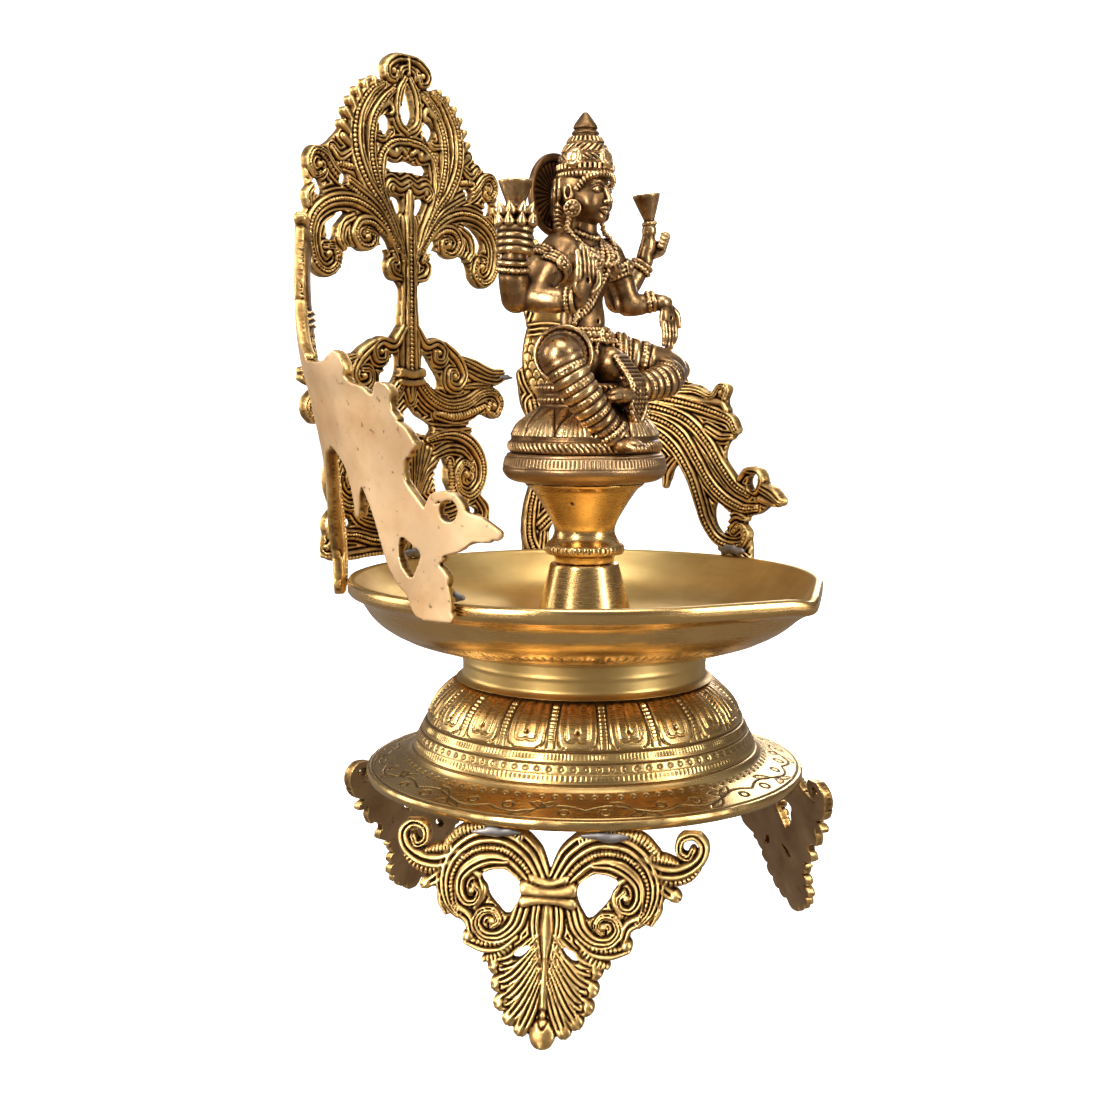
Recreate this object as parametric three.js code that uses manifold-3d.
// Brass diya oil lamp: an oil bowl on a bell-shaped base with three cast legs, a seated
// four-armed figure on a screwed centre stem, and a pierced scroll screen with two peacock wings.
// Millimetres, +Z up. The spout points to -Y and the figure faces -Y; the screen stands at +Y.

import * as THREE from 'three';
import { mergeVertices } from 'three/addons/utils/BufferGeometryUtils.js';
import { TessellateModifier } from 'three/addons/modifiers/TessellateModifier.js';
import Module from 'manifold-3d';

const wasm = await Module();
wasm.setup();

// ---------------------------------------------------------------- driving dimensions
const GAP = 0.3; // clearance kept between touching pieces
const TURNED_SIDES = 40; // facets round a large turned piece
const SMALL_SIDES = 20; // facets round a small turned piece

const RIM_RADIUS = 78.2; // outside of the bowl
const RIM_TOP = 126.1;
const FLANGE_RADIUS = 72.8; // base plate that the legs are brazed under
const FLANGE_BOTTOM = 60.3;
const BELL_TOP = 92.2;
const COLLAR_RADIUS = 40.5;
const BOWL_BOTTOM = 103.0;
const BOWL_FLOOR = 106.8; // inside of the bowl
const CONE_TOP = 130.0; // seam between the fixed cone and the stem
const STEM_TOP = 156.6; // seam between the stem and the seat disc
const DISC_TOP = 166.6;

const ROD_RADIUS = 4.0; // M8 studs on the centre line
const BORE_RADIUS = ROD_RADIUS + GAP + 0.1;

const SPOUT_REACH = 87.7; // tip of the pinched spout, from the lamp's axis
const SPOUT_DIRECTION = -Math.PI / 2;

const LEG_DIRECTIONS = { front_left: -150, front_right: -30, back: 90 };
const LEG_THICKNESS = 4.5;
const LEG_TOP_RADIUS = 63.5; // inner face of a leg under the flange
const LEG_FOOT_RADIUS = 82.0; // inner face of a leg at the floor
const LEG_HEIGHT = FLANGE_BOTTOM - GAP;

const PANEL_THICKNESS = 4.6;
const PANEL_FACE = RIM_RADIUS + 0.4; // front face of the middle panel, along Y
const WING_THICKNESS = 4.5;
const WING_ARC_PER_DEGREE = 1.55; // wing outlines are drawn in millimetres of arc
const WING_FACET = 11; // longest edge after a wing is subdivided for bending

// Shifts the lamp's axis so that the origin is under the middle of the bounding box.
const AXIS_Y = 0.6;

// ---------------------------------------------------------------- materials
function brass(color, roughness) {
  return new THREE.MeshStandardMaterial({ color, roughness, metalness: 1 });
}
const POLISHED_BRASS = brass(0xc2964c, 0.28);
const ANTIQUE_BRASS = brass(0xa27c3a, 0.42);
const FIGURE_BRASS = brass(0x8c6839, 0.4);
const STEEL = brass(0x8d8d8a, 0.45);
const SOLDER = brass(0x8f8a88, 0.6);

// ---------------------------------------------------------------- geometry helpers
function toSolid(geometry) {
  const bare = geometry.clone();
  bare.deleteAttribute('normal');
  bare.deleteAttribute('uv');
  const merged = mergeVertices(bare, 1e-4);
  const mesh = new wasm.Mesh({
    numProp: 3,
    vertProperties: merged.attributes.position.array,
    triVerts: new Uint32Array(merged.index.array),
  });
  return new wasm.Manifold(mesh);
}

function toGeometry(solid) {
  const mesh = solid.getMesh();
  const geometry = new THREE.BufferGeometry();
  geometry.setAttribute('position', new THREE.BufferAttribute(mesh.vertProperties, 3));
  geometry.setIndex(new THREE.BufferAttribute(mesh.triVerts, 1));
  return geometry;
}

function join(geometries) {
  const solids = geometries.map(toSolid);
  return toGeometry(solids.reduce((whole, next) => whole.add(next)));
}

// Turns a closed [radius, height] profile about the vertical axis.
function turned(profile, sides = TURNED_SIDES) {
  const points = profile.map(([radius, height]) => new THREE.Vector2(radius, height));
  points.push(points[0].clone());
  return new THREE.LatheGeometry(points, sides).rotateX(Math.PI / 2);
}

// Moves every vertex of a geometry with place(x, y, z) -> [x, y, z].
function reshape(geometry, place) {
  const position = geometry.getAttribute('position');
  for (let i = 0; i < position.count; i += 1) {
    position.setXYZ(i, ...place(position.getX(i), position.getY(i), position.getZ(i)));
  }
  return geometry;
}

function mirrored(points) {
  return points.map(([x, y]) => [-x, y]);
}

// A closed outline from its right half, which runs from the top middle to the bottom middle.
function symmetric(half) {
  const left = mirrored(half).reverse();
  return [...half, ...left.filter(([x]) => x !== 0)];
}

// Rounds to 1/64 mm, so that halving an edge stays exact and both its faces get the same point.
function snap(value) {
  return Math.round(value * 64) / 64;
}

// A smooth closed curve through a few points, with `steps` chords between two of them.
function smoothLoop(points, steps) {
  const nodes = points.map(([x, y]) => new THREE.Vector3(x, y, 0));
  const curve = new THREE.CatmullRomCurve3(nodes, true, 'centripetal');
  const loop = curve.getPoints(points.length * steps).slice(0, -1);
  return loop.map((point) => new THREE.Vector2(snap(point.x), snap(point.y)));
}

// The same loop, running clockwise or not.
function wound(loop, clockwise) {
  return THREE.ShapeUtils.isClockWise(loop) === clockwise ? loop : loop.reverse();
}

// A pierced plate: outline and holes in X and Y, thickness along +Z.
function piercedPlate({ outline, holes, thickness, steps = 1, holeSteps = 1 }) {
  const shape = new THREE.Shape(wound(smoothLoop(outline, steps), false));
  shape.holes = holes.map((hole) => new THREE.Path(wound(smoothLoop(hole, holeSteps), true)));
  return new THREE.ExtrudeGeometry(shape, { depth: thickness, bevelEnabled: false, steps: 1 });
}

function ball([x, y, z], [rx, ry, rz], around = 8, up = 6) {
  return new THREE.SphereGeometry(1, around, up).scale(rx, ry, rz).translate(x, y, z);
}

// A tapered round bar between two points.
function bar(from, to, fromRadius, toRadius, sides = 7) {
  const start = new THREE.Vector3(...from);
  const direction = new THREE.Vector3(...to).sub(start);
  const length = direction.length();
  const turn = new THREE.Quaternion().setFromUnitVectors(
    new THREE.Vector3(0, 1, 0),
    direction.normalize(),
  );
  const shaft = new THREE.CylinderGeometry(toRadius, fromRadius, length, sides);
  shaft.translate(0, length / 2, 0);
  return shaft.applyQuaternion(turn).translate(start.x, start.y, start.z);
}

// ---------------------------------------------------------------- the model tree
const lamp = new THREE.Group();
lamp.position.y = AXIS_Y;

function add(name, geometry, material) {
  const mesh = new THREE.Mesh(geometry, material);
  mesh.name = name;
  lamp.add(mesh);
  return mesh;
}

// ---------------------------------------------------------------- legs
// Half outline of a leg: V notch, arched plumes, end volute, stepped edge, pointed foot.
const LEG_HALF = [
  [0, 49.5], [5, 56], [9, LEG_HEIGHT], [19, LEG_HEIGHT], [29, LEG_HEIGHT - 0.5], [33.5, 54.5],
  [36.5, 58.5], [41, LEG_HEIGHT], [45, 56], [44.5, 49.5], [39.5, 45], [37, 40.5], [31, 39.5],
  [29, 33.5], [24.5, 31.5], [24.5, 26], [18.5, 23], [15, 19], [13.5, 12], [9, 6.5], [4.5, 2.5],
];
const LEG_FOOT = [[3, 0], [-3, 0]];
const LEG_EYE = [[7, 41], [8, 45], [12.5, 47.5], [18, 47], [18.5, 44.5], [15.5, 39.5], [10, 34.8]];
const LEG_SLOT = [[3.6, 27.4], [7, 26.6], [9.4, 24], [7.4, 23], [4.6, 24.6]];

function legGeometry() {
  const outline = [...LEG_HALF, ...LEG_FOOT, ...mirrored(LEG_HALF.slice(1)).reverse()];
  const holes = [LEG_EYE, LEG_SLOT].flatMap((hole) => [hole, mirrored(hole)]);
  const plate = piercedPlate({ outline, holes, thickness: LEG_THICKNESS, steps: 2 });
  const splay = (LEG_FOOT_RADIUS - LEG_TOP_RADIUS) / LEG_HEIGHT;
  // across the leg -> tangential Y, height -> Z, thickness and splay -> radial X
  return reshape(plate, (across, height, depth) => {
    const level = THREE.MathUtils.clamp(height, 0, LEG_HEIGHT);
    return [LEG_FOOT_RADIUS - splay * level + depth, across, level];
  });
}

// Grey solder run along the outer face of a leg, just under the flange.
function legSolderGeometry(across) {
  const outerFace = LEG_TOP_RADIUS + LEG_THICKNESS;
  return ball([outerFace + 1.7, across, LEG_HEIGHT - 1.6], [0.9, 5.5, 1.4]);
}

for (const [place, degrees] of Object.entries(LEG_DIRECTIONS)) {
  const angle = THREE.MathUtils.degToRad(degrees);
  add(`leg_${place}`, legGeometry(), ANTIQUE_BRASS).rotation.z = angle;
  add(`leg_solder_${place}_a`, legSolderGeometry(16), SOLDER).rotation.z = angle;
  add(`leg_solder_${place}_b`, legSolderGeometry(-16), SOLDER).rotation.z = angle;
}

// ---------------------------------------------------------------- base
const BELL_PROFILE = [
  [FLANGE_RADIUS, FLANGE_BOTTOM], [FLANGE_RADIUS, FLANGE_BOTTOM + 2.8], [61.5, 66.2],
  [58.4, 68.4], [56.4, 72.2], [53.4, 78.0], [50.4, 83.6], [45.9, 88.8], [42.0, BELL_TOP],
  [BORE_RADIUS, BELL_TOP], [BORE_RADIUS, BELL_TOP - 3.6], [39.5, 88.4], [45.0, 83.6],
  [51.0, 74.0], [54.0, FLANGE_BOTTOM],
];
add('base_bell', turned(BELL_PROFILE), POLISHED_BRASS);

const COLLAR_BOTTOM = BELL_TOP + GAP;
const COLLAR_TOP = BOWL_BOTTOM - GAP;
const COLLAR_PROFILE = [
  [COLLAR_RADIUS + 1.2, COLLAR_BOTTOM], [COLLAR_RADIUS, COLLAR_BOTTOM + 1.2],
  [COLLAR_RADIUS, COLLAR_TOP], [COLLAR_RADIUS - 3.5, COLLAR_TOP],
  [COLLAR_RADIUS - 3.5, COLLAR_BOTTOM],
];
add('collar_ring', turned(COLLAR_PROFILE), POLISHED_BRASS);

// ---------------------------------------------------------------- bowl
const BOWL_PROFILE = [
  [COLLAR_RADIUS, BOWL_BOTTOM], [50.0, BOWL_BOTTOM + 0.8], [58.4, 106.4], [64.2, 109.1],
  [68.2, 111.7], [72.0, 116.0], [73.6, 118.8], [75.6, 120.6], [RIM_RADIUS - 0.3, 121.4],
  [RIM_RADIUS, 122.8], [RIM_RADIUS, 125.2], [RIM_RADIUS - 0.7, RIM_TOP],
  [RIM_RADIUS - 2.7, RIM_TOP], [75.0, 123.8], [71.4, 119.2], [66.5, 114.2], [61.0, 111.2],
  [53.0, 108.6], [42.0, BOWL_FLOOR + 0.3], [30.0, BOWL_FLOOR], [BORE_RADIUS, BOWL_FLOOR],
  [BORE_RADIUS, BOWL_BOTTOM],
];
const SPOUT_HALF_ANGLE = Math.acos(RIM_RADIUS / SPOUT_REACH);
const SPOUT_START_HEIGHT = 106; // the wall starts to swell towards the spout here

// The rim runs straight from the circle to the spout's tip, and the wall below follows it.
function pinchSpout(x, y, z) {
  const angle = Math.atan2(y, x);
  const offset = Math.abs(angle - SPOUT_DIRECTION);
  if (offset >= SPOUT_HALF_ANGLE) return [x, y, z];
  const straight = 1 / Math.cos(SPOUT_HALF_ANGLE - offset) - 1;
  const rise = THREE.MathUtils.smoothstep(z, SPOUT_START_HEIGHT, RIM_TOP - 4);
  const stretch = 1 + straight * rise;
  return [x * stretch, y * stretch, z];
}
add('bowl', reshape(turned(BOWL_PROFILE), pinchSpout), POLISHED_BRASS);

const CONE_BOTTOM = BOWL_FLOOR + GAP;
const CONE_PROFILE = [
  [17.6, CONE_BOTTOM], [16.6, 109.0], [11.4, CONE_TOP], [BORE_RADIUS, CONE_TOP],
  [BORE_RADIUS, CONE_BOTTOM],
];
add('socket_cone', turned(CONE_PROFILE, SMALL_SIDES), POLISHED_BRASS);

// ---------------------------------------------------------------- clamping rod under the bowl
const ROD_BOTTOM = 74;
const ROD_TOP = 115.5;
const NUT_HEIGHT = 6.5;
const NUT_RADIUS = 7.5; // across corners of an M8 nut
const WASHER_TOP = BELL_TOP - 3.6 - GAP;
const WASHER_THICKNESS = 1.6;

function rodBetween(bottom, top) {
  const rod = new THREE.CylinderGeometry(ROD_RADIUS, ROD_RADIUS, top - bottom, 16);
  return rod.rotateX(Math.PI / 2).translate(0, 0, (top + bottom) / 2);
}
add('tie_rod', rodBetween(ROD_BOTTOM, ROD_TOP), STEEL);

const WASHER_PROFILE = [
  [12, WASHER_TOP - WASHER_THICKNESS], [12, WASHER_TOP], [BORE_RADIUS, WASHER_TOP],
  [BORE_RADIUS, WASHER_TOP - WASHER_THICKNESS],
];
add('tie_washer', turned(WASHER_PROFILE, SMALL_SIDES), STEEL);

const NUT_TOP = WASHER_TOP - WASHER_THICKNESS - GAP;
const NUT_BORE = BORE_RADIUS / Math.cos(Math.PI / 6); // hexagonal, its flats clear the rod
const NUT_PROFILE = [
  [NUT_RADIUS, NUT_TOP - NUT_HEIGHT], [NUT_RADIUS, NUT_TOP], [NUT_BORE, NUT_TOP],
  [NUT_BORE, NUT_TOP - NUT_HEIGHT],
];
add('tie_nut', turned(NUT_PROFILE, 6), STEEL);

// ---------------------------------------------------------------- centre stem and its studs
const STEM_BOTTOM = CONE_TOP + GAP;
const STEM_PROFILE = [
  [10.0, STEM_BOTTOM], [10.0, 132.2], [13.3, 133.8], [13.3, 136.0], [9.9, 140.6], [11.4, 144.8],
  [14.6, 150.2], [19.9, STEM_TOP], [BORE_RADIUS, STEM_TOP], [BORE_RADIUS, STEM_BOTTOM],
];
add('stem', turned(STEM_PROFILE, SMALL_SIDES), POLISHED_BRASS);
add('stem_stud', rodBetween(116.5, 142.5), STEEL);
add('figure_stud', rodBetween(144, 164), STEEL);

const DISC_BOTTOM = STEM_TOP + GAP;
const DISC_PROFILE = [
  [22.0, DISC_BOTTOM], [25.8, 158.4], [27.2, 161.2], [26.8, 164.0], [25.2, DISC_TOP],
  [BORE_RADIUS, DISC_TOP], [BORE_RADIUS, DISC_BOTTOM],
];
add('seat_disc', turned(DISC_PROFILE, 32), POLISHED_BRASS);

// ---------------------------------------------------------------- lotus seat and seated figure
const LOTUS_BOTTOM = DISC_TOP + GAP;
const LOTUS_PROFILE = [
  [0, LOTUS_BOTTOM], [24.4, LOTUS_BOTTOM], [25.1, 168.6], [24.2, 170.4], [23.6, 172.4],
  [20.4, 177.0], [15.4, 181.0], [15.8, 184.0], [15.0, 189.0], [0, 189.5],
];
const HALO_RADIUS = 13.6;
const HALO_THICKNESS = 2.4;
const HALO_FRONT = 11.2; // front face of the halo, behind the lamp's axis
const HALO_HEIGHT = 250.5;
const CROWN_PROFILE = [
  [0, 252], [8.6, 253], [8.4, 259], [6.2, 264.5], [3.8, 268], [3.8, 270.5], [3.0, 271.5], [0.4, 276],
  [0, 276],
];

function limb(points, radii) {
  const pieces = [];
  for (let i = 0; i + 1 < points.length; i += 1) {
    pieces.push(bar(points[i], points[i + 1], radii[i], radii[i + 1]));
    const joint = radii[i + 1] * 1.02;
    pieces.push(ball(points[i + 1], [joint, joint, joint], 7, 5));
  }
  return pieces;
}

// A closed lotus bud on a short stalk, held in an upper hand.
function bud([x, y, z]) {
  return bar([x, y, z], [x, y, z + 14], 1.6, 4.6, 8);
}

function figureGeometry() {
  const openProfile = (profile, sides) => {
    const points = profile.map(([radius, height]) => new THREE.Vector2(radius, height));
    return new THREE.LatheGeometry(points, sides).rotateX(Math.PI / 2);
  };
  const body = [
    openProfile(LOTUS_PROFILE, 24),
    ball([0, 1, 197], [15, 11.5, 10.5]),
    ball([0, 1, 212], [8.6, 7.0, 12]),
    ball([0, 0, 228], [13.5, 8.6, 9.5]),
    bar([0, 1, 230], [0, 0, 246], 5.5, 4.6),
    ball([0, -0.5, 248], [8.2, 8.6, 9.8]),
    bar([0, 4, 246], [0, HALO_FRONT - GAP, 246], 4, 3),
    openProfile(CROWN_PROFILE, 12),
  ];
  const rightLeg = limb([[-9, 2, 196], [-25, -9, 196], [-11, -19, 174]], [8.5, 8.2, 5.2]);
  const leftLeg = limb([[9, 2, 196], [24.5, -18, 193.5], [2, -17, 187]], [8.5, 7.6, 5.2]);
  const feet = [
    ball([-9, -24, 169.8], [4.2, 7.0, 2.6]),
    ball([-5, -19, 185.6], [7.5, 3.4, 2.8]),
  ];
  const upperRight = limb([[-12, 2, 232], [-31, 3, 216], [-34, 0, 234]], [5.2, 4.4, 3.4]);
  const upperLeft = limb([[12, 2, 232], [22, 3, 217], [31, -3, 232]], [5.2, 4.4, 3.2]);
  const lowerRight = limb([[-12, -1, 231], [-27, -1, 215.5], [-21.5, -14, 215]], [5.2, 4.2, 3.2]);
  const lowerLeft = limb([[12, -1, 231], [19, -3, 215.5], [25.5, -9, 216]], [5.0, 4.0, 3.0]);
  const hands = [
    ball([-21.5, -15, 224], [3.4, 2.0, 9.5]),
    ball([27, -11.5, 210], [3.0, 2.0, 7.2]),
    ball([-34.5, 0, 239], [4.0, 3.6, 4.0]),
    ball([31, -4, 236], [3.4, 3.0, 4.4]),
    bud([-34.5, 0, 237.5]),
    bud([30.5, -3.4, 237.5]),
  ];
  return join([
    ...body, ...rightLeg, ...leftLeg, ...feet, ...upperRight, ...upperLeft, ...lowerRight,
    ...lowerLeft, ...hands,
  ]);
}
add('seated_figure', figureGeometry(), FIGURE_BRASS);

// Thin disc behind the head, held on a lug at the back of the neck.
const halo = new THREE.CylinderGeometry(HALO_RADIUS, HALO_RADIUS, HALO_THICKNESS, 24);
halo.translate(0, HALO_FRONT + HALO_THICKNESS / 2, HALO_HEIGHT);
add('halo', halo, FIGURE_BRASS);

// ---------------------------------------------------------------- screen: middle panel
// Half outline from the finial down the right side to the foot tab on the rim.
const PANEL_HALF = [
  [0, 305], [7, 303.8], [11.5, 299], [10.5, 294.2], [16, 296], [22, 292], [28, 285], [32, 277.5],
  [38, 271.5], [45, 268], [49, 261], [48, 252], [50, 243], [49, 232], [45, 225], [38, 223.5],
  [32, 227], [29, 234.2], [21, 234], [13, 236.5], [11.5, 231], [7.5, 225], [4, 222], [4.6, 212],
  [6.8, 206.6], [14, 206.6], [20, 203.2], [26, 200.5], [34, 198.5], [43, 195.5], [51, 195.8],
  [52, 189], [46.5, 188], [51, 184], [51, 177.6], [45.5, 174.2], [38, 176], [31.5, 173], [32.5, 168.5],
  [39, 164], [42, 156], [41, 149.5], [38.5, 144], [43, 139], [44, 131], [39, 126.6], [28, 127],
  [17, 127.5], [9.5, 127], [8.5, 120.8], [0, 120.8],
];
const PANEL_CENTRE_HOLES = [
  [[0, 294.5], [2.4, 291], [3.6, 284], [0, 280], [-3.6, 284], [-2.4, 291]],
  [[0, 268], [5, 267.2], [9.4, 267.6], [9.6, 263.6], [0, 264.4], [-9.6, 263.6], [-9.4, 267.6], [-5, 267.2]],
  [[0, 180], [11, 171.8], [5.5, 168], [-5.5, 168], [-11, 171.8]],
];
const PANEL_PAIRED_HOLES = [
  [[7, 281], [11, 282.6], [14, 280.5], [12, 276.5], [9.2, 274.5]],
  [[2, 248.6], [6, 249.6], [8.6, 255.4], [3.4, 253.6]],
  [[29.5, 261], [33, 261.5], [33, 257.5], [29.5, 257.2]],
  [[40.5, 252.4], [44.5, 252], [45, 258.5], [41, 258.5]],
  [[29.5, 247.4], [35.5, 245.4], [40, 240], [38, 236.6], [34.5, 239]],
  [[8, 236], [11, 241.4], [14, 241.6], [12, 237.4]],
  [[6.2, 197], [9.6, 196], [15.6, 188.4], [14, 185.2], [9.6, 187.2], [6.4, 192]],
  [[12, 156.5], [17, 160.3], [19.6, 158.4], [17.6, 152], [21, 146.4], [15.6, 147], [12.4, 151.4]],
  [[28.5, 142.8], [33, 144], [36.5, 141.4], [34.5, 138.6], [29.5, 138.8]],
];

function panelGeometry() {
  const holes = [
    ...PANEL_CENTRE_HOLES,
    ...PANEL_PAIRED_HOLES.flatMap((hole) => [hole, mirrored(hole)]),
  ];
  const outline = symmetric(PANEL_HALF);
  const plate = piercedPlate({ outline, holes, thickness: PANEL_THICKNESS, steps: 2 });
  return plate.rotateX(Math.PI / 2).translate(0, PANEL_FACE + PANEL_THICKNESS, 0);
}
add('screen_panel', panelGeometry(), ANTIQUE_BRASS);

// ---------------------------------------------------------------- screen: peacock wings
// Outline in millimetres of arc (growing forwards, zero at the lamp's side) and height.
const WING_OUTLINE = [
  [-87, 188], [-87, 194], [-83, 198], [-82, 208], [-84, 218], [-84, 229], [-85, 238], [-80, 243.5],
  [-73, 241], [-69, 232], [-65, 222], [-61, 211], [-57, 202], [-50, 197], [-41, 194.5], [-32, 196],
  [-25, 199.5], [-19.5, 198.5], [-17.5, 191], [-11.5, 189.5], [-8, 184.8], [-4, 189], [0.5, 187.5],
  [1, 180], [7, 175.5], [8, 170.5], [3.5, 166.5], [3, 161], [8.5, 153], [13, 157], [20, 157.2],
  [27, 152.5], [34.5, 148.5], [33.5, 145], [27.5, 144.6], [21, 140.8], [14, 140], [14.5, 135.5],
  [18, 131], [17, 121], [4, 121], [-1, 127.5], [-8, 134], [-12.5, 144], [-14.5, 156], [-20, 161],
  [-22.5, 152.5], [-25.5, 148], [-28, 155], [-31, 164], [-41, 170], [-51, 166], [-57, 156], [-63, 146],
  [-70, 138], [-73, 130], [-73, 121], [-85, 121], [-87, 131], [-84, 144], [-80, 156], [-81, 169], [-86, 180],
];
const WING_HOLES = [
  [[-72, 150], [-66, 158], [-62.5, 168], [-67, 175], [-73.5, 170], [-75.5, 160]],
  [[-1.5, 145.6], [3.5, 143.6], [6.6, 140.4], [5, 135.6], [2.4, 133], [-1.5, 135.4], [-3, 140]],
];
// Inner radius of the wing at a height: upright at the rim, leaning outwards above it.
const WING_LEAN = [
  [RIM_TOP, RIM_RADIUS + 0.5], [148, 79.6], [165, 81], [183, 84.2], [204, 88.4], [245, 89.4],
];

function wingRadius(height) {
  if (height <= WING_LEAN[0][0]) return WING_LEAN[0][1];
  for (let i = 1; i < WING_LEAN.length; i += 1) {
    const [low, lowRadius] = WING_LEAN[i - 1];
    const [high, highRadius] = WING_LEAN[i];
    if (height <= high) {
      return THREE.MathUtils.mapLinear(height, low, high, lowRadius, highRadius);
    }
  }
  return WING_LEAN.at(-1)[1];
}

// Wraps the flat outline round the lamp's left side.
function bendWing(arc, height, depth) {
  const angle = THREE.MathUtils.degToRad(-arc / WING_ARC_PER_DEGREE);
  const radius = wingRadius(height) + depth;
  return [-radius * Math.cos(angle), radius * Math.sin(angle), height];
}

function leftWingGeometry() {
  const plate = piercedPlate({
    outline: WING_OUTLINE,
    holes: WING_HOLES,
    thickness: WING_THICKNESS,
  });
  const fine = new TessellateModifier(WING_FACET, 24).modify(plate);
  return reshape(fine, bendWing);
}

function rightWingGeometry() {
  return toGeometry(toSolid(leftWingGeometry()).mirror([1, 0, 0]));
}
add('screen_wing_right', rightWingGeometry(), ANTIQUE_BRASS);
add('screen_wing_left', leftWingGeometry(), ANTIQUE_BRASS);

// ---------------------------------------------------------------- solder joints of the screen
// A flat lump of solder at an angle round the rim, outside the piece that it holds.
function rimSolder(degrees, radius, height, width) {
  const lump = ball([radius, 0, height], [1.3, width, 1.8]);
  return lump.rotateZ(THREE.MathUtils.degToRad(degrees));
}
const SOLDER_RADIUS = RIM_RADIUS - 1.8; // lumps sit on the lip, against the screen's inner face
const SOLDER_HEIGHT = RIM_TOP + 2.1;
const WING_FOOT_DEGREES = -7;
const WING_TACK = [49, 76.9, 191.5]; // where a peacock's breast meets the panel's arm
for (const [side, turn] of [['right', 1], ['left', -1]]) {
  const degrees = turn > 0 ? WING_FOOT_DEGREES : 180 - WING_FOOT_DEGREES;
  add(`wing_solder_${side}`, rimSolder(degrees, SOLDER_RADIUS, SOLDER_HEIGHT, 4.5), SOLDER);
  const [x, y, z] = WING_TACK;
  add(`panel_solder_${side}`, ball([turn * x, y, z], [2.6, 1.4, 2.2]), SOLDER);
}
add('panel_solder_rim', rimSolder(90, SOLDER_RADIUS, SOLDER_HEIGHT, 7), SOLDER);

export default lamp;
